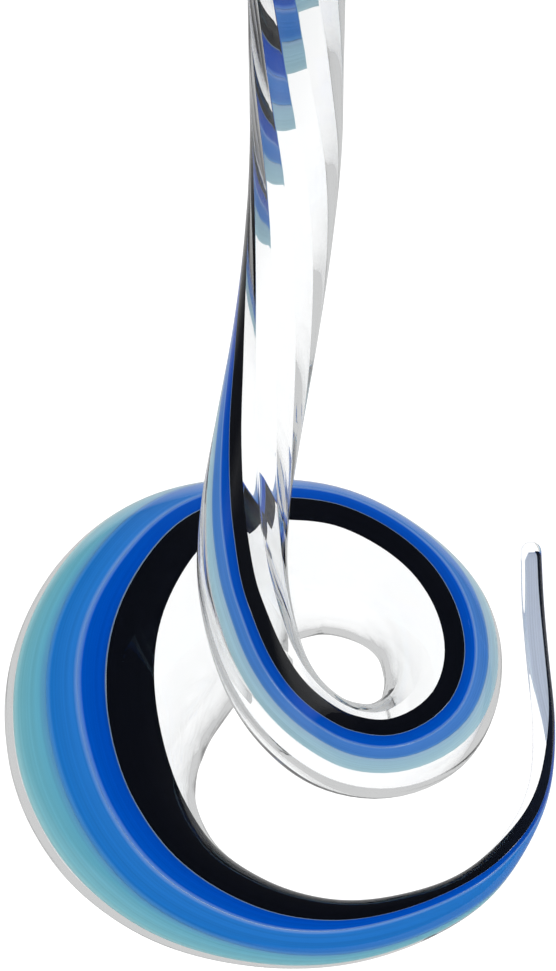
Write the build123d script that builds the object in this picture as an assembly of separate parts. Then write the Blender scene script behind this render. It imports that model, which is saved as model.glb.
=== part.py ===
"""Coiled wine decanter, mouth-blown, with a four-colour band cased inside its wall.

One hollow tube comes down the neck, goes once round an inner loop, swells into the big bulge on
the left, runs round the front as an outer loop and ends in a thin closed tail that lifts off the
table. The wall is laid up from six pieces of glass: a clear gather as the inner lining, four
colour canes side by side in a channel along it, and a clear casing over everything.

Axes: +Z up, the table is z = 0, the front of the coil faces -Y.
Units: millimetres and degrees.
"""
from build123d import *
import os
from math import cos, radians, sin, sqrt

# ---- the neck, from the lip down ----
# (x, y, z of the tube's middle, outer radius)
NECK = [
    (4.0, 1.5, 444.0, 29.5),    # lip of the trumpet mouth
    (4.2, 2.5, 435.0, 25.0),
    (4.4, 3.5, 420.0, 20.2),
    (4.4, 4.5, 400.0, 17.6),
    (4.4, 7.0, 355.0, 16.4),
    (4.2, 10.5, 305.0, 16.1),
    (1.8, 12.5, 262.0, 15.6),
    (-3.0, 12.0, 215.0, 15.4),  # the narrowest part
    (-9.0, 9.0, 172.0, 15.8),
    (-14.0, 4.0, 134.0, 16.4),
    (-15.0, -2.5, 107.0, 16.8),
    (-11.5, -9.5, 84.0, 16.7),  # the neck bends into the inner loop
    (-4.5, -15.0, 62.0, 16.5),
    (7.0, -16.5, 42.0, 16.8),
]

# ---- the coil, one and a third turns round an upright axis, widening like a snail ----
COIL_AXIS = (20.0, 24.0)
REST = 0.0                      # the round underside touches the table
# (turn angle from +X, distance from the coil axis, outer radius, underside above the table)
COIL = [
    (-92, 40.0, 17.4, 12.6),    # inner loop, front
    (-65, 42.0, 18.2, 5.8),
    (-40, 43.5, 20.2, 4.3),
    (-15, 41.5, 21.8, 3.7),
    (10, 41.5, 23.2, 3.3),      # inner loop, right
    (35, 45.0, 24.0, 2.0),
    (60, 51.0, 25.0, REST),
    (90, 57.0, 28.8, REST),     # back, behind the neck
    (120, 59.5, 33.6, REST),
    (150, 63.0, 40.0, REST),
    (178, 73.0, 43.2, REST),    # the bulge at its fullest
    (195, 86.0, 41.4, REST),
    (210, 100.0, 36.8, REST),
    (225, 113.0, 29.8, REST),
    (240, 120.2, 22.2, REST),
    (255, 120.8, 16.4, REST),
    (270, 118.3, 12.3, REST),   # outer loop, front
    (285, 112.0, 9.5, REST),
    (300, 104.5, 7.0, REST),
    (315, 96.0, 5.0, 2.5),
    (330, 89.0, 4.3, 6.2),      # the tail lifts off the table
    (345, 82.0, 4.4, 15.6),
    (358, 77.0, 4.4, 31.6),
    (371, 76.5, 4.3, 46.7),
    (382, 80.5, 4.0, 58.0),     # its tip is one radius beyond this
]

# ---- the wall ----
CASING, CANE, LINING = 1.1, 0.8, 1.1
WALL = CASING + CANE + LINING
FULL_WALL_RADIUS = 16.0         # thinner tubes have a wall in proportion
FACETS = 12                     # nearly flat optic facets round the neck's bore
FACET_FLATNESS = 0.84           # 0 is a round bore, 1 a straight-sided one
FACET_CORNER_WALL = 2.7         # thinnest wall, at the corners between facets
FACET_PHASE = 2.5               # a corner, in degrees past the cobalt/azure edge of the band
FACETS_GROW_IN = 50.0           # distance over which the facets grow in below the lip
FACETS_TO, FACETS_GONE = 380.0, 500.0   # full depth to here along the tube, gone by there
SKIN_GAP = 0.20                 # modelling clearance between layers, in proportion too
SIDE_GAP = 0.10                 # the same, between the sides of two canes
BORE_END = 286                  # turn angle where the hollow closes; the tail is solid
LAYERS_END = 381.8              # turn angle where the lining and canes end inside the tip
LIP_DEPTH = 4.0                 # the lip is casing glass only, fire-polished round

# ---- the colour band ----
# Edges of the four canes round the tube, in degrees from its top towards the outside of the
# coil: start of black, black/cobalt, cobalt/azure, azure/turquoise, end of turquoise. Up the
# neck, where a tube has no top, the zero line turns to face +X between these two heights.
TURN_LOW, TURN_HIGH = 30.0, 100.0
BAND_ON_NECK = [                # (height, five edges)
    (444, 258, 278, 296, 314, 332),
    (379, 224, 244, 262, 280, 298),
    (290, 178, 198, 215, 232, 249),
    (215, 140, 160, 176, 192, 208),
    (172, 114, 134, 150, 166, 184),
    (134, 85, 104, 121, 138, 153),
    (107, 65, 85, 99, 114, 134),
    (84, 43, 65, 80, 95, 115),
    (62, 17, 40, 55, 70, 90),
]
BAND_ON_COIL = [                # (turn angle, five edges)
    (-85, -4, 20, 36, 51, 71),
    (-50, 4, 26, 41, 55, 73),
    (-15, 3, 24, 37, 54, 74),
    (30, -9, 12, 27, 44, 64),
    (60, -11, 11, 27, 45, 67),
    (100, -16, 5, 20, 42, 66),
    (170, -20, -1, 10, 27, 49),
    (200, -28, -2, 14, 33, 61),
    (220, -39, -1, 17, 41, 78),
    (240, -48, 8, 31, 62, 98),
    (260, -48, 19, 41, 80, 110),
    (280, -48, 14, 30, 86, 110),
    (300, -57, 8, 30, 92, 114),
    (310, -46, 23, 42, 108, 130),
    (320, -18, 44, 66, 120, 150),
    (335, 0, 53, 85, 135, 170),
    (350, 30, 71, 105, 150, 185),
    (380, 32, 73, 110, 155, 190),
]
COLOURS = ["black", "cobalt", "azure", "turquoise"]

SECTION_STEP = 6.0              # spacing of the loft sections along the tube
RUN_SECTIONS = 10               # sections in one loft; longer ones lose accuracy
ROUNDING = (0, 15, 30, 45, 60, 75)  # latitudes of the sections on a rounded end or lip

# ==== geometry ====


def smooth(keys, rows, at):
    """Cubic interpolation of rows of numbers given at increasing keys."""
    last = len(keys) - 1
    i = 0
    while i < last - 1 and at > keys[i + 1]:
        i += 1
    step = keys[i + 1] - keys[i]
    u = (at - keys[i]) / step

    def slope(j, column):
        if j in (0, last):
            a, b = (0, 1) if j == 0 else (last - 1, last)
            return (rows[b][column] - rows[a][column]) / (keys[b] - keys[a])
        before, after = keys[j] - keys[j - 1], keys[j + 1] - keys[j]
        rise_in = (rows[j][column] - rows[j - 1][column]) / before
        rise_out = (rows[j + 1][column] - rows[j][column]) / after
        return (rise_in * after + rise_out * before) / (before + after)

    result = []
    for column in range(len(rows[i])):
        start, end = rows[i][column], rows[i + 1][column]
        m0, m1 = slope(i, column) * step, slope(i + 1, column) * step
        result.append((2 * u**3 - 3 * u**2 + 1) * start + (u**3 - 2 * u**2 + u) * m0
                      + (3 * u**2 - 2 * u**3) * end + (u**3 - u**2) * m1)
    return result


# Every station as (x, y, underside height, outer radius), keyed by distance along the tube.
stations = [(x, y, z - radius, radius) for x, y, z, radius in NECK]
for turn, reach, radius, underside in COIL:
    stations.append((COIL_AXIS[0] + reach * cos(radians(turn)),
                     COIL_AXIS[1] + reach * sin(radians(turn)), underside, radius))
middles = [Vector(x, y, underside + radius) for x, y, underside, radius in stations]
along = [0.0]
for previous, current in zip(middles, middles[1:]):
    along.append(along[-1] + (current - previous).length)
LENGTH = along[-1]


def place_of_turn(turn):
    """Distance along the tube of a turn angle on the coil."""
    turns = [row[0] for row in COIL]
    return smooth(turns, [[distance] for distance in along[len(NECK):]], turn)[0]


def place_of_height(height):
    """Distance along the tube of a height on the neck."""
    depths = [-row[2] for row in NECK]
    return smooth(depths, [[distance] for distance in along[:len(NECK)]], -height)[0]


band_keys = ([place_of_height(row[0]) for row in BAND_ON_NECK]
             + [place_of_turn(row[0]) for row in BAND_ON_COIL])
band_rows = [row[1:] for row in BAND_ON_NECK + BAND_ON_COIL]


def middle_and_radius(place):
    x, y, underside, radius = smooth(along, stations, place)
    return Vector(x, y, underside + radius), radius


def section_plane(place):
    """Plane across the tube: its z axis runs along the tube and its x axis is the zero line."""
    middle, _ = middle_and_radius(place)
    ahead, _ = middle_and_radius(min(place + 0.5, LENGTH))
    behind, _ = middle_and_radius(max(place - 0.5, 0.0))
    in_neck = 0.0
    if place < place_of_turn(-65):
        in_neck = min(1.0, max(0.0, (middle.Z - TURN_LOW) / (TURN_HIGH - TURN_LOW)))
    run = (ahead - behind).normalized()
    zero_line = Vector(in_neck, 0, 1 - in_neck)
    zero_line = zero_line - run * zero_line.dot(run)
    return Plane(origin=middle, x_dir=zero_line, z_dir=run)


def layer_radius(place, depth):
    """Radius of a surface lying depth below the outside, in proportion on a thin tube."""
    _, radius = middle_and_radius(place)
    return radius - depth * min(1.0, radius / FULL_WALL_RADIUS)


def places_between(start, end):
    count = max(2, round((end - start) / SECTION_STEP))
    return [start + (end - start) * i / count for i in range(count + 1)]


def spot(radius, angle):
    """Point of a cross-section, by its distance from the middle and its angle."""
    return (radius * cos(radians(angle)), radius * sin(radians(angle)))


def round_outline(place, depth):
    return Wire([section_plane(place) * Edge.make_circle(layer_radius(place, depth))])


def arc_outline(plane, corner_radius, middle_radius, first_angle):
    """Closed outline of FACETS equal arcs from corner to corner through their middles."""
    turn = 360 / FACETS
    edges = []
    for i in range(FACETS):
        a = first_angle + i * turn
        edges.append(ThreePointArc(spot(corner_radius, a), spot(middle_radius, a + turn / 2),
                                   spot(corner_radius, a + turn)))
    return Wire([plane * edge for edge in edges])


def facet_corner(place):
    """Angle of one corner between facets; the corners twist with the band."""
    return smooth(band_keys, band_rows, place)[2] + FACET_PHASE


def bore_outline(place):
    """The bore: nearly flat facets in the neck, a plain circle at its start and in the coil."""
    full = min(1.0, max(0.0, (place - LIP_DEPTH) / FACETS_GROW_IN))
    full *= min(1.0, max(0.0, (FACETS_GONE - place) / (FACETS_GONE - FACETS_TO)))
    corner = layer_radius(place, WALL + full * (FACET_CORNER_WALL - WALL))
    middle = corner * (1 - full * FACET_FLATNESS * (1 - cos(radians(180 / FACETS))))
    return arc_outline(section_plane(place), corner, middle, facet_corner(place))


def bore_tip_outlines(place, stretch):
    """The rounded end of the bore, made of the same arcs."""
    plane, radius = section_plane(place), layer_radius(place, WALL)
    outlines = []
    for latitude in ROUNDING + (85,):
        ring = radius * cos(radians(latitude))
        outlines.append(arc_outline(plane.offset(stretch * radius * sin(radians(latitude))),
                                    ring, ring, facet_corner(place)))
    return outlines


def lip_outlines(side):
    """Half of the rounded lip, from its crown to the wall: side 1 outside, -1 inside."""
    plane, half_wall = section_plane(0), WALL / 2
    crown = layer_radius(0, half_wall)
    outlines = []
    for latitude in (90,) + ROUNDING[::-1]:
        radius = crown + side * half_wall * cos(radians(latitude))
        ring = Edge.make_circle(radius)
        outlines.append(Wire([plane.offset(-half_wall * sin(radians(latitude))) * ring]))
    return outlines


def rounded_end(place, depth, stretch):
    """Outlines that close a tube beyond a place like half an egg."""
    plane, radius = section_plane(place), layer_radius(place, depth)
    outlines = []
    for latitude in ROUNDING + (85,):
        ring = Edge.make_circle(radius * cos(radians(latitude)))
        outlines.append(Wire([plane.offset(stretch * radius * sin(radians(latitude))) * ring]))
    return outlines


def skin(outlines):
    """Side faces of a loft made in short runs, then its first and its last flat cap."""
    sides, caps = [], []
    runs = max(1, round((len(outlines) - 1) / RUN_SECTIONS))
    breaks = [round(i * (len(outlines) - 1) / runs) for i in range(runs + 1)]
    for start, end in zip(breaks, breaks[1:]):
        run = outlines[start:end + 1]
        solid = Solid.make_loft(run)
        flats = [face for face in solid.faces() if face.geom_type == GeomType.PLANE]
        first = min(flats, key=lambda face: (face.center() - run[0].center()).length)
        last = min(flats, key=lambda face: (face.center() - run[-1].center()).length)
        caps += [first, last]
        sides += [face for face in solid.faces()
                  if not face.is_same(first) and not face.is_same(last)]
    return sides, caps[0], caps[-1]


def closed(*faces):
    return Solid(Shell(faces))


def ring_between(outer_cap, inner_cap):
    return Face(outer_cap.outer_wire(), [inner_cap.outer_wire()])


def sector(place, outer, inner, from_angle, to_angle):
    """Closed outline between two radii and two angles round the tube."""
    mid_angle = (from_angle + to_angle) / 2
    edges = [ThreePointArc(spot(outer, from_angle), spot(outer, mid_angle), spot(outer, to_angle)),
             Line(spot(outer, to_angle), spot(inner, to_angle)),
             ThreePointArc(spot(inner, to_angle), spot(inner, mid_angle), spot(inner, from_angle)),
             Line(spot(inner, from_angle), spot(outer, from_angle))]
    plane = section_plane(place)
    return Wire([plane * edge for edge in edges])


def grooved_section(place, outer, floor, from_angle, to_angle):
    """Round outline with one channel sunk into it between two angles."""
    edges = []
    back = from_angle + 360
    third = (back - to_angle) / 3
    for i in range(3):
        a, b = to_angle + i * third, to_angle + (i + 1) * third
        edges.append(ThreePointArc(spot(outer, a), spot(outer, (a + b) / 2), spot(outer, b)))
    edges += [Line(spot(outer, back), spot(floor, back)),
              ThreePointArc(spot(floor, back), spot(floor, (from_angle + to_angle) / 2),
                            spot(floor, to_angle)),
              Line(spot(floor, to_angle), spot(outer, to_angle))]
    plane = section_plane(place)
    return Wire([plane * edge for edge in edges])


# ---- the casing: lip, outside, tail tip, then back up the cavity that holds the rest ----
layers_from, layers_to = LIP_DEPTH, place_of_turn(LAYERS_END)
lip_outside, _, _ = skin(lip_outlines(1))
lip_inside, _, _ = skin(lip_outlines(-1))
outside, _, _ = skin([round_outline(place, 0) for place in places_between(0, LENGTH)])
throat, _, throat_end = skin([round_outline(place, WALL)
                              for place in places_between(0, LIP_DEPTH)])
tip, _, tip_end = skin(rounded_end(LENGTH, 0, 1.0))
cavity, cavity_start, cavity_end = skin([round_outline(place, CASING)
                                         for place in places_between(layers_from, layers_to)])
casing = closed(*lip_outside, *outside, *tip, tip_end, *lip_inside, *throat,
                ring_between(cavity_start, throat_end), *cavity, cavity_end)

# ---- the clear gather, with the channel for the canes outside and the bore inside ----
inner_from, inner_to = layers_from + 0.05, layers_to - 0.05
bore_to = place_of_turn(BORE_END)
grooved = []
for place in places_between(inner_from, inner_to):
    edges_here = smooth(band_keys, band_rows, place)
    grooved.append(grooved_section(
        place, layer_radius(place, CASING + SKIN_GAP),
        layer_radius(place, CASING + CANE + SKIN_GAP), edges_here[0], edges_here[4]))
outer_faces, grooved_start, grooved_end = skin(grooved)
bore, bore_start, _ = skin([bore_outline(place) for place in places_between(inner_from, bore_to)])
bore_tip, _, bore_end = skin(bore_tip_outlines(bore_to, 1.3))
gather = closed(*outer_faces, grooved_end, ring_between(grooved_start, bore_start),
                *bore, *bore_tip, bore_end)

# ---- the four colour canes ----
canes = []
for i in range(len(COLOURS)):
    sections = []
    for place in places_between(inner_from, inner_to):
        outer = layer_radius(place, CASING + SKIN_GAP)
        inner = layer_radius(place, CASING + CANE)
        edges_here = smooth(band_keys, band_rows, place)
        margin = SIDE_GAP / radians(outer)
        sections.append(sector(place, outer, inner, edges_here[i] + margin,
                               edges_here[i + 1] - margin))
    sides, start, end = skin(sections)
    canes.append(closed(*sides, start, end))

# ---- put the middle of the footprint at the origin and write the parts ----
box = casing.bounding_box()
home = Pos(-box.center().X, -box.center().Y, -box.min.Z)
parts = {"outer_casing": casing, "inner_gather": gather}
for colour, cane in zip(COLOURS, canes):
    parts[colour + "_cane"] = cane
os.makedirs("parts", exist_ok=True)
for name, shape in parts.items():
    export_step(home * shape, "parts/" + name + ".step")
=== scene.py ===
"""Looks of the coiled decanter: clear cased glass, colour band, optic facets in the neck.

The CAD casing gives the course of the tube and the CAD canes the edges of the band; the glass
and its stripes are swept along them. Lengths are in millimetres until a mesh is made.
"""

import math

import bpy
import numpy as np
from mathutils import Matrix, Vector
from mathutils.bvhtree import BVHTree


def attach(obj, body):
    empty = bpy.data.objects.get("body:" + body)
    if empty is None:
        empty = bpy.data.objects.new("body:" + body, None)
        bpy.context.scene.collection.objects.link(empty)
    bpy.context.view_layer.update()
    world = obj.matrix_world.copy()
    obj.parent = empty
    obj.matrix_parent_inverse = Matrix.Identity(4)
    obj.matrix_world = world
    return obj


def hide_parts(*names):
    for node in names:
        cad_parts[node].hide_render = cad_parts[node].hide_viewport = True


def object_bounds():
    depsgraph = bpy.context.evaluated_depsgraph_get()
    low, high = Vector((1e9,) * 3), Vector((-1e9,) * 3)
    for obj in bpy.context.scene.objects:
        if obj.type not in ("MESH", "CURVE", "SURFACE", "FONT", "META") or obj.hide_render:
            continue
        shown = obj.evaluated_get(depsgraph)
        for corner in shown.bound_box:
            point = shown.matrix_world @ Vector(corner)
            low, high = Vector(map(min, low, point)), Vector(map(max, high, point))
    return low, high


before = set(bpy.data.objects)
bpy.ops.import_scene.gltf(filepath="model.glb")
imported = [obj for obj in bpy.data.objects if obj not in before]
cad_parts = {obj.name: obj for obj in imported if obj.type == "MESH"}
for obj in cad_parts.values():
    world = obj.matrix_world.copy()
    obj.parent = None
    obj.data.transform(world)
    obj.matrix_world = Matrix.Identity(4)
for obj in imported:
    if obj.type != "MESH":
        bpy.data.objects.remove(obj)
cad_low, cad_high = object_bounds()
scene = bpy.context.scene
MM = 0.001

# ---- glass wall, as in the CAD part (mm) ----
CASING = 1.1                    # clear glass over the band
CANE = 0.8                      # thickness of the band
WALL = 3.0
FULL_WALL_RADIUS = 16.0         # thinner tubes have a wall in proportion
CANES = ["black", "cobalt", "azure", "turquoise"]       # in their order across the band

# ---- optic facets: the neck's bore is twelve nearly flat facets that twist with the band ----
FACETS = 12
# flatness at distances from the lip: 0 is a round bore, 1 a flat facet, above that it bulges
FACET_FLATNESS = ((60, 180, 290), (0.66, 0.54, 1.3))
FACET_PHASE = 2.5               # a facet's corner, degrees past the cobalt/azure edge
FACETS_FROM = 12.0              # round from the lip to here, then the facets grow in (mm)
FACETS_GROW_IN = 50.0
FACETS_TO = 380.0               # full depth down to this distance from the lip (mm)
FACETS_GONE = 500.0
CORNER_WALL = 2.7               # thinnest wall, at the facets' corners (mm)

# ---- the meshes ----
STEP = 3.3                      # spacing of the rings along the tube (mm)
# points on half a facet, as shares of it, closer together at the corner
HALF_FACET = (0.0, 0.2, 0.4, 0.6, 0.78, 0.92, 0.985)
CAP_LATITUDES = (12, 24, 36, 48, 60, 72, 83)            # rings over a rounded end (degrees)
LIP_STEP = 10                   # rings round the lip's half circle (degrees)
BORE_END_STRETCH = 1.3          # the bore's rounded end is longer than half a ball
BORE_END_RINGS = 3              # and starts this many rings before the CAD bore stops
SOLID_RINGS = 6                 # this many rings without a bore in a row end it
STRIPE_POINTS = 16              # across each face of a stripe
STRIPE_GAP = 0.02               # clearance at each side of a stripe (mm)
TAIL_LATITUDES = (14, 28, 42, 56)                       # the stripes' rings over the tail's tip

# ---- a rough course of the tube to search along ----
# Points on the neck, then turn angles, distances from the coil's axis and heights; every middle
# and radius is fitted to the CAD casing afterwards.
NECK_GUIDE = [(5, 1, 442), (5, 2, 420), (5, 3, 400), (5, 6, 355), (5, 9, 305), (2, 11, 262),
              (-2, 11, 215), (-8, 8, 172), (-13, 3, 134), (-14, -3, 107), (-11, -10, 84),
              (-4, -16, 62), (8, -17, 42)]
COIL_AXIS = (20.6, 23.0)
COIL_GUIDE = [(-92, 40, 30), (-65, 42, 24), (-40, 43.5, 24.5), (-15, 41.5, 25.5),
              (10, 41.5, 26.5), (35, 45, 26), (60, 51, 25), (90, 57, 29), (120, 59.5, 34),
              (150, 63, 40), (178, 73, 43), (195, 86, 41), (210, 100, 37), (225, 113, 30),
              (240, 120, 22), (255, 121, 16.5), (270, 118, 12.5), (285, 112, 9.5),
              (300, 104.5, 7), (315, 96, 7.5), (330, 89, 10.5), (345, 82, 20), (358, 77, 36),
              (371, 76.5, 51), (382, 80.5, 62)]
GUIDE_STEP = 2.0                # spacing of the fitted points (mm)
SMOOTHING = 2                   # width of the running average, in points
FIT_PASSES = 2                  # before the last one, which gives the radii
FIT_RAYS = 36
ENOUGH_RAYS = 0.6               # share of the rays that has to strike glass
FIT_SPREADS = (0.5, 0.2, 0.07, 0.07)    # how far off the usual reach a point may be, per pass
PAST_SURFACE = 0.02             # a ray goes on this far behind a surface it struck (mm)
BORE_WALL_SHARE = 0.85          # glass at least this share of the wall counts as a bore's wall
LIP_BELOW_CAD = 0.1             # the lip's top stays this far inside the CAD's (mm)
CANE_SEARCH = 3                 # degrees between the rays that look for a stripe
CANE_HALVINGS = 6
STRIPE_TURN = 0.3               # roughly how far a stripe reaches round the tube (radians)


# ---------------------------------------------------------------- reading the frame
def tree_of(node):
    """A CAD node's surface in mm, for rays to strike."""
    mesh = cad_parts[node].data
    points = [v.co / MM for v in mesh.vertices]
    return BVHTree.FromPolygons(points, [tuple(p.vertices) for p in mesh.polygons])


def across(run):
    """Two unit vectors across the tube, the first as near as can be to +X."""
    run = run / np.linalg.norm(run)
    zero = np.array([1.0, 0, 0])
    first = zero - run * np.dot(zero, run)
    first /= np.linalg.norm(first)
    return first, np.cross(run, first)


def reach_out(tree, origin, direction, hits):
    """Distance to the given hit number along a ray, or None."""
    total, start = 0.0, Vector(origin)
    heading = Vector(direction)
    for _ in range(hits):
        spot, _, _, distance = tree.ray_cast(start, heading)
        if spot is None:
            return None
        total += distance + PAST_SURFACE
        start = spot + heading * PAST_SURFACE
    return total - PAST_SURFACE


def fit(tree, middle, run):
    """Middle and radius of the outside of the casing in a plane across the tube."""
    first, second = across(run)
    for spread in FIT_SPREADS:
        rim = []
        for i in range(FIT_RAYS):
            a = 2 * math.pi * i / FIT_RAYS
            heading = first * math.cos(a) + second * math.sin(a)
            # the ray meets the inside of the casing first, then its outside
            reach = reach_out(tree, middle, heading, 2)
            if reach is not None:
                rim.append(middle + heading * reach)
        if len(rim) < FIT_RAYS * ENOUGH_RAYS:
            return None
        rim = np.array(rim)
        reach = np.linalg.norm(rim - middle, axis=1)
        rim = rim[np.abs(reach / np.median(reach) - 1) < spread]
        u, v = (rim - middle) @ first, (rim - middle) @ second
        table = np.column_stack([u, v, np.ones(len(u))])
        cu, cv, c = np.linalg.lstsq(table, u * u + v * v, rcond=None)[0]
        middle = middle + first * cu / 2 + second * cv / 2
        radius = math.sqrt(c + (cu * cu + cv * cv) / 4)
    return middle, radius


def curve_through(points, spacing):
    """Points every so many mm on a smooth curve through the given ones."""
    points = np.array(points, float)
    ends = np.vstack([2 * points[0] - points[1], points, 2 * points[-1] - points[-2]])
    key = np.concatenate([[0], np.cumsum(np.linalg.norm(np.diff(ends, axis=0), axis=1))])
    fine = []
    for i in range(1, len(ends) - 2):
        steps = max(1, round((key[i + 1] - key[i]) / spacing))
        slopes = [(ends[j + 1] - ends[j - 1]) / (key[j + 1] - key[j - 1])
                  * (key[i + 1] - key[i]) for j in (i, i + 1)]
        for u in np.arange(steps) / steps:
            fine.append((2*u**3 - 3*u**2 + 1) * ends[i] + (u**3 - 2*u**2 + u) * slopes[0]
                        + (3*u**2 - 2*u**3) * ends[i + 1] + (u**3 - u**2) * slopes[1])
    return np.array(fine + [points[-1]])


def directions(points):
    """Unit direction of travel at each point of a path."""
    run = np.gradient(points, axis=0)
    return run / np.linalg.norm(run, axis=1)[:, None]


def even(values):
    """Running average along the tube; the ends stay where they are."""
    pad = 3 * SMOOTHING
    weight = np.exp(-0.5 * (np.arange(-pad, pad + 1) / SMOOTHING) ** 2)
    weight /= weight.sum()
    head = 2 * values[:1] - values[pad:0:-1]
    tail = 2 * values[-1:] - values[-2:-pad - 2:-1]
    long = np.concatenate([head, values, tail])
    if long.ndim == 1:
        return np.convolve(long, weight, "valid")
    return np.column_stack([np.convolve(column, weight, "valid") for column in long.T])


def trace_tube():
    """Middles and radii along the tube, fitted to the CAD casing."""
    tree = tree_of("outer_casing")
    guide = list(NECK_GUIDE)
    for turn, reach, height in COIL_GUIDE:
        turn = math.radians(turn)
        guide.append((COIL_AXIS[0] + reach * math.cos(turn),
                      COIL_AXIS[1] + reach * math.sin(turn), height))
    path = curve_through(guide, GUIDE_STEP)
    for _ in range(FIT_PASSES):
        found = [fit(tree, p, d) for p, d in zip(path, directions(path))]
        path = even(np.array([f[0] if f else p for f, p in zip(found, path)]))
    found = [fit(tree, p, d) for p, d in zip(path, directions(path))]
    kept = [i for i, f in enumerate(found) if f]
    radii = np.interp(np.arange(len(path)), kept, [found[i][1] for i in kept])
    return path, even(radii)


def carried_to_lip(middles, radii):
    """The tube with its first ring moved out to the lip, which the fit stops just short of.

    The rounded lip leans with the tube, and its highest point is level with the CAD's.
    """
    run = directions(middles)[0]
    lean = math.sqrt(1 - run[2] ** 2)
    flare = (radii[0] - radii[1]) / np.linalg.norm(middles[0] - middles[1])
    top = middles[0][2] + (radii[0] - WALL / 2) * lean + WALL / 2
    rise = (cad_high[2] / MM - top - LIP_BELOW_CAD) / (1 + flare * lean)
    lip = middles[0] - run * rise / abs(run[2])
    return np.vstack([lip, middles]), np.concatenate([[radii[0] + flare * rise], radii])


def evenly_spaced(middles, radii):
    """Distances from the lip, middles and radii at rings about STEP apart."""
    spacing = np.linalg.norm(np.diff(middles, axis=0), axis=1)
    key = np.concatenate([[0], np.cumsum(spacing)])
    along = np.linspace(0, key[-1], int(key[-1] / STEP) + 1)
    middles = np.column_stack([np.interp(along, key, column) for column in middles.T])
    return along, middles, np.interp(along, key, radii)


def carried_frames(runs):
    """Two directions across the tube at each ring, carried along it without twisting."""
    first, _ = across(runs[0])
    firsts, seconds = [], []
    for run in runs:
        first = first - run * np.dot(first, run)
        first = first / np.linalg.norm(first)
        firsts.append(first)
        seconds.append(np.cross(run, first))
    return np.array(firsts), np.array(seconds)


along, middles, radii = evenly_spaced(*carried_to_lip(*trace_tube()))
runs = directions(middles)
firsts, seconds = carried_frames(runs)
share = np.minimum(1.0, radii / FULL_WALL_RADIUS)       # of the full wall thickness


# ---------------------------------------------------------------- the band, from the CAD canes
def cane_edges(tree, i):
    """Start and end angle of a cane on ring i, found by rays from the tube's middle."""
    def struck(degree):
        a = math.radians(degree)
        heading = Vector(firsts[i] * math.cos(a) + seconds[i] * math.sin(a))
        return tree.ray_cast(Vector(middles[i]), heading, radii[i])[0] is not None

    hits = [struck(d) for d in range(0, 360, CANE_SEARCH)]
    if not any(hits) or all(hits):
        return None
    edges = []
    for rising in (True, False):
        k = next(k for k in range(len(hits)) if hits[k - 1] != hits[k] and hits[k] == rising)
        low, high = CANE_SEARCH * (k - 1), CANE_SEARCH * k
        for _ in range(CANE_HALVINGS):
            mid = (low + high) / 2
            if struck(mid) == rising:
                high = mid
            else:
                low = mid
        edges.append((low + high) / 2)
    start, end = edges
    return start, end + (360 if end < start else 0)


def band_edges():
    """Five edge angles per ring, in radians and unwrapped along the tube."""
    trees = [tree_of(name + "_cane") for name in CANES]
    rows, found = [], []
    for i in range(len(middles)):
        row = [cane_edges(tree, i) for tree in trees]
        if all(row):
            edges = [row[0][0]]
            for (_, end), (start, _) in zip(row, row[1:]):
                edges.append((end + start + (360 if start < end - 180 else 0)
                              - (360 if start > end + 180 else 0)) / 2)
            edges.append(row[-1][1])
            rows.append(edges)
            found.append(i)
    table = np.unwrap(np.radians(rows), axis=0)
    full = 2 * math.pi
    for k in range(1, len(CANES) + 1):
        table[:, k] += full * np.round((table[:, k - 1] + STRIPE_TURN - table[:, k]) / full)
    table = np.column_stack([np.interp(range(len(middles)), found, column)
                             for column in table.T])
    return even(table), found[0], found[-1]


edges, band_first, band_last = band_edges()


# ---------------------------------------------------------------- meshes
def mesh_object(name, points, faces, smooth=True, attributes=None):
    """An object from points in mm; attributes are lists with a number for each point."""
    mesh = bpy.data.meshes.new(name)
    points = np.asarray(points, float)
    quads = np.array([face if len(face) == 4 else (*face, face[-1]) for face in faces])
    corners = points[quads]
    # faces must look outwards for the glass to bend light the right way
    middle = corners.mean(1)
    normal = np.cross(corners[:, 2] - corners[:, 0], corners[:, 3] - corners[:, 1])
    triangle = quads[:, 2] == quads[:, 3]
    normal[triangle] = np.cross(corners[triangle, 1] - corners[triangle, 0],
                                corners[triangle, 2] - corners[triangle, 0])
    if np.sum(middle * normal) < 0:
        faces = [face[::-1] for face in faces]
    mesh.from_pydata([Vector(p) * MM for p in points], [], faces)
    mesh.update()
    for key, values in (attributes or {}).items():
        mesh.attributes.new(key, "FLOAT", "POINT").data.foreach_set("value", values)
    mesh.polygons.foreach_set("use_smooth", [smooth] * len(mesh.polygons))
    obj = bpy.data.objects.new(name, mesh)
    scene.collection.objects.link(obj)
    return obj


def tube_faces(rows, columns):
    """Quads between rows of points; each row closes on itself."""
    faces = []
    for r in range(rows - 1):
        for c in range(columns):
            d = (c + 1) % columns
            faces.append((r * columns + c, r * columns + d,
                          (r + 1) * columns + d, (r + 1) * columns + c))
    return faces


def eased(t):
    """0 to 1 with a soft start and end, for t from 0 to 1."""
    t = min(1.0, max(0.0, t))
    return t * t * (3 - 2 * t)


def facet_depth(distance):
    """How much of the facets there is at a distance from the lip, 0 to 1."""
    return (eased((distance - FACETS_FROM) / FACETS_GROW_IN)
            * (1 - eased((distance - FACETS_TO) / (FACETS_GONE - FACETS_TO))))


FACET_HALF_ANGLE = math.pi / FACETS
in_facet = np.array([-u for u in HALF_FACET[:0:-1]] + list(HALF_FACET)) * FACET_HALF_ANGLE
# every point's angle round the tube and its angle from the middle of its facet
AROUND_ANGLES = np.concatenate([2 * math.pi * k / FACETS + in_facet for k in range(FACETS)])
FACET_ANGLES = np.tile(in_facet, FACETS)
AROUND = len(AROUND_ANGLES)


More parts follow.
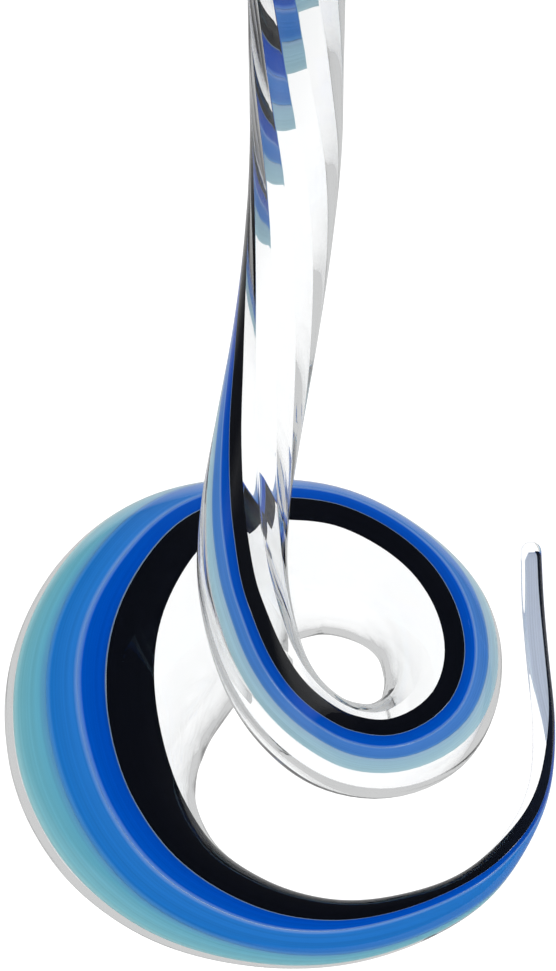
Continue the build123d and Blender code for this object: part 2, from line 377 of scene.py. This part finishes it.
def glass_ring(middle, i, radius, facet=0.0):
    """Points round the tube on ring i; they follow the twist of the band."""
    a = AROUND_ANGLES + edges[i][2] + math.radians(FACET_PHASE) + FACET_HALF_ANGLE
    flat = math.cos(FACET_HALF_ANGLE) / np.cos(FACET_ANGLES)
    flatness = np.interp(along[i], *FACET_FLATNESS)
    reach = radius * (1 + facet * flatness * (flat - 1))
    return (middle + np.outer(reach * np.cos(a), firsts[i])
            + np.outer(reach * np.sin(a), seconds[i]))


def bore_last_ring():
    """Last ring where the CAD lining is hollow; past it the tail is solid."""
    tree = tree_of("inner_gather")
    last, solid = 0, 0
    for i in range(len(middles)):
        spot = tree.ray_cast(Vector(middles[i]), Vector(firsts[i]), radii[i])[0]
        gap = radii[i] if spot is None else (spot - Vector(middles[i])).length
        # a ray from inside the bore stops at its wall, one in solid glass only at the outside
        if gap < radii[i] - BORE_WALL_SHARE * WALL * share[i]:
            last, solid = i, 0
        else:
            solid += 1
        if solid == SOLID_RINGS:
            break
    return last


def rounded_end(i, radius, stretch):
    """Rings and pole of a cap over ring i."""
    rings = []
    for degree in CAP_LATITUDES:
        latitude = math.radians(degree)
        centre = middles[i] + runs[i] * radius * stretch * math.sin(latitude)
        rings.append(glass_ring(centre, i, radius * math.cos(latitude)))
    return rings, middles[i] + runs[i] * radius * stretch


def lip_rings():
    """Half a circle of the wall's thickness, from the outside over to the bore."""
    half = WALL / 2
    rings = []
    for degree in range(LIP_STEP, 180, LIP_STEP):
        a = math.radians(degree)
        centre = middles[0] - runs[0] * half * math.sin(a)
        rings.append(glass_ring(centre, 0, radii[0] - half + half * math.cos(a)))
    return rings


def glass_body():
    """Outside, lip, faceted bore and rounded ends as one closed surface."""
    last = len(middles) - 1
    tip_rings, tip_pole = rounded_end(last, radii[last], 1.0)
    rings = tip_rings[::-1]
    rings += [glass_ring(middles[i], i, radii[i]) for i in range(last, -1, -1)]
    rings += lip_rings()
    bore_end = bore_last_ring() - BORE_END_RINGS
    for i in range(bore_end + 1):
        depth = facet_depth(along[i])
        wall = (WALL * (1 - depth) + CORNER_WALL * depth) * share[i]
        rings.append(glass_ring(middles[i], i, radii[i] - wall, depth))
    end_rings, end_pole = rounded_end(bore_end, radii[bore_end] - WALL * share[bore_end],
                                      BORE_END_STRETCH)
    rings += end_rings
    points = np.vstack(rings)
    faces = tube_faces(len(rings), AROUND)
    first_pole, last_pole = len(points), len(points) + 1
    last_row = (len(rings) - 1) * AROUND
    for c in range(AROUND):
        d = (c + 1) % AROUND
        faces.append((first_pole, d, c))
        faces.append((last_pole, last_row + c, last_row + d))
    return mesh_object("clear_glass", np.vstack([points, tip_pole, end_pole]), faces)


def stripe_side(i, latitude, radius, turns):
    """Points across one side of a stripe; over the tail's tip they run on round its end."""
    latitude = math.radians(latitude)
    spoke = radius * math.cos(latitude)
    centre = middles[i] + runs[i] * radius * math.sin(latitude)
    return [centre + spoke * (firsts[i] * math.cos(a) + seconds[i] * math.sin(a))
            for a in turns]


def stripe(name, k):
    """One colour stripe, a thin solid inside the wall between band edges k and k + 1."""
    places = [(i, 0) for i in range(band_first, band_last + 1)]
    places += [(band_last, latitude) for latitude in TAIL_LATITUDES]
    u = np.linspace(0, 1, STRIPE_POINTS)
    rows, along_values = [], []
    for i, latitude in places:
        outer = radii[i] - CASING * share[i]
        inner = radii[i] - (CASING + CANE) * share[i]
        start, end = edges[i][k] + STRIPE_GAP / outer, edges[i][k + 1] - STRIPE_GAP / outer
        turns = start + (end - start) * u
        rows.append(stripe_side(i, latitude, outer, turns)
                    + stripe_side(i, latitude, inner, turns[::-1]))
        place = 1.0 if latitude else along[i] / along[-1]
        along_values += [place] * (2 * STRIPE_POINTS)
    columns = 2 * STRIPE_POINTS
    faces = tube_faces(len(rows), columns)
    last_row = (len(rows) - 1) * columns
    for c in range(STRIPE_POINTS - 1):
        d = columns - 1 - c
        faces.append((c, c + 1, d - 1, d))
        faces.append((last_row + c + 1, last_row + c, last_row + d, last_row + d - 1))
    across_values = (list(u) + list(u[::-1])) * len(rows)
    return mesh_object(name, np.vstack(rows), faces,
                       attributes={"across": across_values, "along": along_values})


# ---------------------------------------------------------------- materials
def linear(r, g, b):
    """Linear colour of a screen colour with parts from 0 to 255."""
    return tuple((c / 255 / 12.92) if c <= 10 else ((c / 255 + 0.055) / 1.055) ** 2.4
                 for c in (r, g, b))


# colours across each stripe, from the black side (0) outwards (1)
STRIPE_COLOURS = {
    "black": [(0.0, linear(10, 12, 18)), (1.0, linear(8, 10, 16))],
    "cobalt": [(0.0, linear(130, 150, 165)), (0.05, linear(110, 135, 160)),
               (0.09, linear(6, 68, 160)), (0.2, linear(0, 70, 172)),
               (0.86, linear(0, 78, 180)), (1.0, linear(90, 135, 205))],
    "azure": [(0.0, linear(125, 160, 215)), (0.16, linear(40, 118, 196)),
              (0.85, linear(28, 113, 192)), (1.0, linear(75, 140, 198))],
    "turquoise": [(0.0, linear(95, 152, 198)), (0.22, linear(102, 174, 196)),
                  (0.8, linear(121, 186, 198)), (1.0, linear(150, 200, 206))],
}
SEE_THROUGH = {"black": 0.0, "cobalt": 0.2, "azure": 0.25, "turquoise": 0.35}
# Where the glass was drawn out thin a stripe pales: to this colour, this far in the neck and the
# inner loop, and this far in the tail.
PALE = {
    "black": (linear(40, 50, 70), 0.0, 0.15),
    "cobalt": (linear(20, 60, 130), 0.0, 0.5),
    "azure": (linear(160, 175, 220), 0.14, 0.0),
    "turquoise": (linear(215, 221, 232), 0.42, 0.96),
}
PALE_TO, FULL_FROM, FULL_TO, PALE_FROM = 0.54, 0.64, 0.86, 0.92     # shares of the tube's length

GLASS_IOR = 1.5
CLEAR_TINT = (0.985, 0.99, 0.992)       # the clear glass drifts between this and no tint
TINT_SCALE = 18.0
EDGE_NOISE = (2.0, 9.0)                 # noise in the stripes' edges, across and along them
EDGE_WOBBLE = 0.06                      # and how far it moves them, as a share of the stripe
STREAK_NOISE = (13.0, 7.0)              # fine streaks in the colour
NOISE_RANGE = (0.3, 0.7)
STREAK_STRENGTH = (0.91, 1.06)


def add_node(tree, kind, inputs=None, **settings):
    """A new shader node; an input is a value, or an output of another node to link from."""
    node = tree.nodes.new("ShaderNode" + kind)
    for name, value in settings.items():
        setattr(node, name, value)
    for name, value in (inputs or {}).items():
        if isinstance(value, bpy.types.NodeSocket):
            tree.links.new(value, node.inputs[name])
        else:
            node.inputs[name].default_value = value
    return node


def calculate(tree, operation, *values):
    """Output of a maths node on values or outputs."""
    return add_node(tree, "Math", dict(enumerate(values)), operation=operation).outputs[0]


def map_range(tree, value, start, end):
    """Output that runs from one pair of numbers to another, both given as (low, high)."""
    inputs = {"Value": value, "From Min": start[0], "From Max": start[1],
              "To Min": end[0], "To Max": end[1]}
    return add_node(tree, "MapRange", inputs).outputs["Result"]


def colour_ramp(tree, factor, stops):
    """Colours fading into each other; each stop is a place from 0 to 1 and a colour."""
    ramp = add_node(tree, "ValToRGB", {"Fac": factor})
    points = ramp.color_ramp.elements
    points.remove(points[1])
    points[0].position = stops[0][0]
    points[0].color = (*stops[0][1], 1)
    for place, colour in stops[1:]:
        points.new(place).color = (*colour, 1)
    return ramp.outputs["Color"]


def mix_shaders(tree, factor, first, second):
    return add_node(tree, "MixShader", {0: factor, 1: first, 2: second}).outputs[0]


def new_material(name):
    """A material with an empty node tree."""
    material = bpy.data.materials.new(name)
    material.use_nodes = True
    material.node_tree.nodes.clear()
    return material, material.node_tree


def clear_glass_material():
    """Clear glass that lets light and soft shading through to the band inside the wall."""
    material, tree = new_material("clear_casing_glass")
    noise = add_node(tree, "TexNoise", {"Scale": TINT_SCALE}).outputs["Fac"]
    tint = colour_ramp(tree, noise, [(0.0, CLEAR_TINT), (1.0, (1, 1, 1))])
    glass = add_node(tree, "BsdfGlass", {"Color": tint, "IOR": GLASS_IOR, "Roughness": 0.0})
    clear = add_node(tree, "BsdfTransparent")
    path = add_node(tree, "LightPath").outputs
    straight = calculate(tree, "MAXIMUM", path["Is Shadow Ray"], path["Is Diffuse Ray"])
    surface = mix_shaders(tree, straight, glass.outputs[0], clear.outputs[0])
    add_node(tree, "OutputMaterial", {"Surface": surface})
    return material


def stretched_noise(tree, across_stripe, along_tube, scales):
    """Noise drawn out along the tube, like streaks in pulled glass."""
    place = add_node(tree, "CombineXYZ", {
        "X": calculate(tree, "MULTIPLY", across_stripe, scales[0]),
        "Y": calculate(tree, "MULTIPLY", along_tube, scales[1])})
    noise = add_node(tree, "TexNoise", {"Vector": place.outputs[0], "Scale": 1.0, "Detail": 1.0})
    return noise.outputs["Fac"]


def stripe_material(colour):
    """Coloured glass, its colour running across the stripe from the black side outwards."""
    material, tree = new_material(colour + "_glass")
    across_stripe = add_node(tree, "Attribute", attribute_name="across").outputs["Fac"]
    along_tube = add_node(tree, "Attribute", attribute_name="along").outputs["Fac"]
    noise = stretched_noise(tree, across_stripe, along_tube, EDGE_NOISE)
    wobble = calculate(tree, "MULTIPLY_ADD", noise, EDGE_WOBBLE, across_stripe)
    full = colour_ramp(tree, wobble, STRIPE_COLOURS[colour])
    pale, in_neck, in_tail = PALE[colour]
    thinness = colour_ramp(tree, along_tube, [
        (place, (amount, amount, amount)) for place, amount in
        ((0.0, in_neck), (PALE_TO, in_neck), (FULL_FROM, 0.0), (FULL_TO, 0.0),
         (PALE_FROM, in_tail))])
    paled = add_node(tree, "MixRGB", {0: thinness, 1: full, 2: (*pale, 1)})
    streaks = stretched_noise(tree, across_stripe, along_tube, STREAK_NOISE)
    strength = map_range(tree, streaks, NOISE_RANGE, STREAK_STRENGTH)
    streaked = add_node(tree, "MixRGB", {0: 1.0, 1: paled.outputs["Color"], 2: strength},
                        blend_type="MULTIPLY").outputs["Color"]
    diffuse = add_node(tree, "BsdfDiffuse", {"Color": streaked})
    through = add_node(tree, "BsdfTranslucent", {"Color": streaked})
    surface = mix_shaders(tree, SEE_THROUGH[colour], diffuse.outputs[0], through.outputs[0])
    add_node(tree, "OutputMaterial", {"Surface": surface})
    return material


# ---------------------------------------------------------------- the pieces
def place_piece(piece, material, slot, *nodes):
    """Put a piece on the one body, in place of CAD nodes."""
    piece.data.materials.append(material)
    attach(piece, "root")
    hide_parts(*nodes)


place_piece(glass_body(), clear_glass_material(), "clear_casing", "outer_casing", "inner_gather")
for k, colour in enumerate(CANES):
    place_piece(stripe(colour + "_stripe", k), stripe_material(colour), colour + "_glass",
                colour + "_cane")

# ---------------------------------------------------------------- floor, light and camera
FLOOR_HALF = 6000.0             # half the floor's side, and how far it lies below the object (mm)
FLOOR_BELOW = 0.3
FLOOR_GREY = 0.48               # what the floor fades to far from the object
FLOOR_FADE = (0.35, 1.1)        # where it starts and stops fading (m)
THROUGH_GLASS = 1.2             # brightness of what is seen straight through the glass
FLOOR_MIRRORED = 0.62           # and of the floor and the room by way of a reflection
ROOM_MIRRORED = 0.1
FRONT_MIRRORED = 0.1            # share of that left on the floor in front and on the left
FRONT_EDGE = (-0.32, -0.16)     # from fully dark to fully bright there (m)
SOFT_LIGHT = 1.4                # brightness of the light on the band
LOW_ROOM = (0.55, 0.55, 0.56)   # the room as seen in the glass, at table height
HIGH_ROOM = (0.10, 0.10, 0.11)
HIGH_ROOM_AT = 0.75             # height of the direction in which it is as dark as that, 0 to 1


def mirror_dimmed(tree, path, mirrored):
    """Brightness: THROUGH_GLASS, or mirrored once the light has been reflected."""
    reflected = calculate(tree, "MINIMUM", path["Glossy Depth"], 1.0)
    return calculate(tree, "MULTIPLY_ADD", reflected, mirrored - THROUGH_GLASS, THROUGH_GLASS)


def floor_material():
    """White to the camera; to the glass it fades with distance and is dimmer in reflections."""
    material, tree = new_material("pale_floor")
    position = add_node(tree, "NewGeometry").outputs["Position"]
    distance = add_node(tree, "VectorMath", {0: position}, operation="LENGTH").outputs["Value"]
    fade = map_range(tree, distance, FLOOR_FADE, (1.0, FLOOR_GREY))
    path = add_node(tree, "LightPath").outputs
    dimmed = calculate(tree, "MULTIPLY", fade, mirror_dimmed(tree, path, FLOOR_MIRRORED))
    # in reflections the floor is dark in front and on the left, as if lit from behind
    place = add_node(tree, "SeparateXYZ", {0: position}).outputs
    nearest = calculate(tree, "MINIMUM", place["X"], place["Y"])
    front = map_range(tree, nearest, FRONT_EDGE, (FRONT_MIRRORED, 1.0))
    one_sided = map_range(tree, path["Glossy Depth"], (0.0, 1.0), (1.0, front))
    sided = calculate(tree, "MULTIPLY", dimmed, one_sided)
    brightness = calculate(tree, "MAXIMUM", path["Is Camera Ray"], sided)
    glow = add_node(tree, "Emission", {"Strength": brightness})
    add_node(tree, "OutputMaterial", {"Surface": glow.outputs[0]})
    return material


def add_floor():
    """A flat floor that reaches far beyond the picture."""
    corners = [(x * FLOOR_HALF, y * FLOOR_HALF, -FLOOR_BELOW)
               for x, y in ((-1, -1), (1, -1), (1, 1), (-1, 1))]
    floor = mesh_object("floor", corners, [(0, 1, 2, 3)], smooth=False)
    floor.data.materials.append(floor_material())


def light_room():
    """Soft white light from all round, and a darker room for the glass to mirror and bend."""
    scene.world = bpy.data.worlds.new("soft_studio")
    scene.world.use_nodes = True
    tree = scene.world.node_tree
    tree.nodes.clear()
    path = add_node(tree, "LightPath").outputs
    coordinates = add_node(tree, "TexCoord").outputs["Generated"]
    height = add_node(tree, "SeparateXYZ", {0: coordinates}).outputs["Z"]
    dome = colour_ramp(tree, height, [(0.0, LOW_ROOM), (HIGH_ROOM_AT, HIGH_ROOM)])
    seen = add_node(tree, "Background", {
        "Color": dome, "Strength": mirror_dimmed(tree, path, ROOM_MIRRORED)})
    light = add_node(tree, "Background", {"Color": (1, 1, 1, 1), "Strength": SOFT_LIGHT})
    direct = calculate(tree, "MAXIMUM", path["Is Camera Ray"], path["Is Diffuse Ray"])
    surface = mix_shaders(tree, direct, seen.outputs[0], light.outputs[0])
    add_node(tree, "OutputWorld", {"Surface": surface})


# The camera stands well back and looks down at 45 degrees, at a point on the table behind the
# neck, so the mouth leaves the top of the picture.
CAMERA_TILT = math.radians(45)
CAMERA_DISTANCE = 2.400
LOOK_AT = Vector((-0.0012, 0.151, 0.0))
SENSOR, LENS = 36.0, 222.4      # mm


def set_camera():
    camera = bpy.data.objects.new("camera", bpy.data.cameras.new("camera"))
    scene.collection.objects.link(camera)
    ahead = Vector((0, math.cos(CAMERA_TILT), -math.sin(CAMERA_TILT)))
    camera.location = LOOK_AT - ahead * CAMERA_DISTANCE
    camera.rotation_euler = (math.radians(90) - CAMERA_TILT, 0, 0)
    camera.data.sensor_width, camera.data.lens = SENSOR, LENS
    camera.data.clip_start, camera.data.clip_end = 0.1, 20.0
    scene.camera = camera


def set_render():
    """Enough bounces for light to pass the many walls of the coil; no caustics."""
    scene.view_settings.view_transform = "Standard"
    scene.cycles.max_bounces = 24
    scene.cycles.transmission_bounces = 20
    scene.cycles.glossy_bounces = 12
    scene.cycles.transparent_max_bounces = 24
    scene.cycles.diffuse_bounces = 3
    scene.cycles.caustics_refractive = False
    scene.cycles.caustics_reflective = False


add_floor()
light_room()
set_camera()
set_render()
